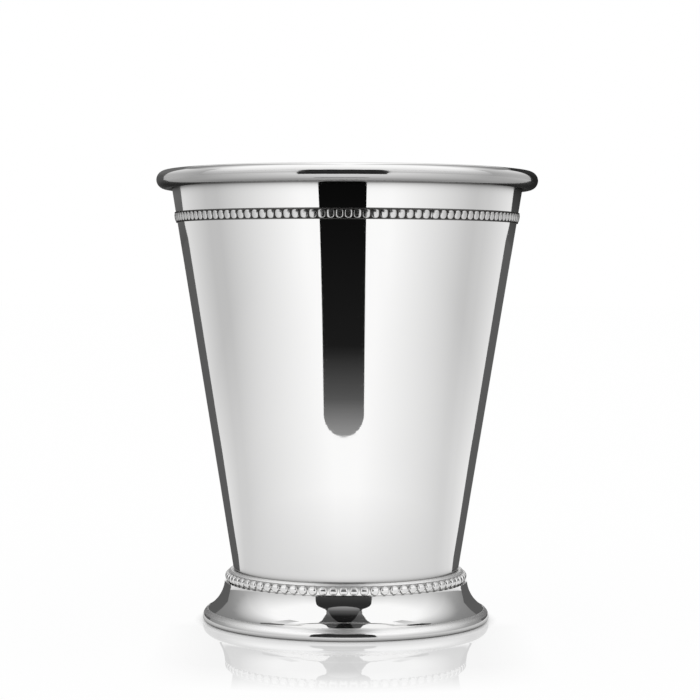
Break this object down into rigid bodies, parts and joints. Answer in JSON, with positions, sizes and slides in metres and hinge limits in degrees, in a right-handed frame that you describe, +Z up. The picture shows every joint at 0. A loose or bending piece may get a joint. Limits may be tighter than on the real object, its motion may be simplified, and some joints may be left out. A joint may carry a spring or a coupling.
{
  "type": "julep cup",
  "caption": "Tapered metal julep cup with a rolled lip, a soldered band of beads below it and a flared hollow foot trimmed with pearls, for serving iced drinks.",
  "frame": {"origin": "on the table at the cup's axis, in the plane of the foot's rest ring", "axes": "+Z up along the cup's axis, front of the cup facing -Y"},
  "size_m": [0.092, 0.092, 0.108],
  "materials": {
    "cup_silver": "mirror-polished silver plate on sheet",
    "band_silver": "polished silver plate with darkened crevices",
    "foot_silver": "mirror-polished silver plate on a casting",
    "solder": "dull grey solder"
  },
  "bodies": {
    "root": {"cup_body": "cup_silver", "beaded_band": "band_silver", "band_solder": "solder", "foot": "foot_silver", "pearl_wire": "band_silver", "pearl_solder": "solder", "foot_solder": "solder"}
  },
  "joints": []
}
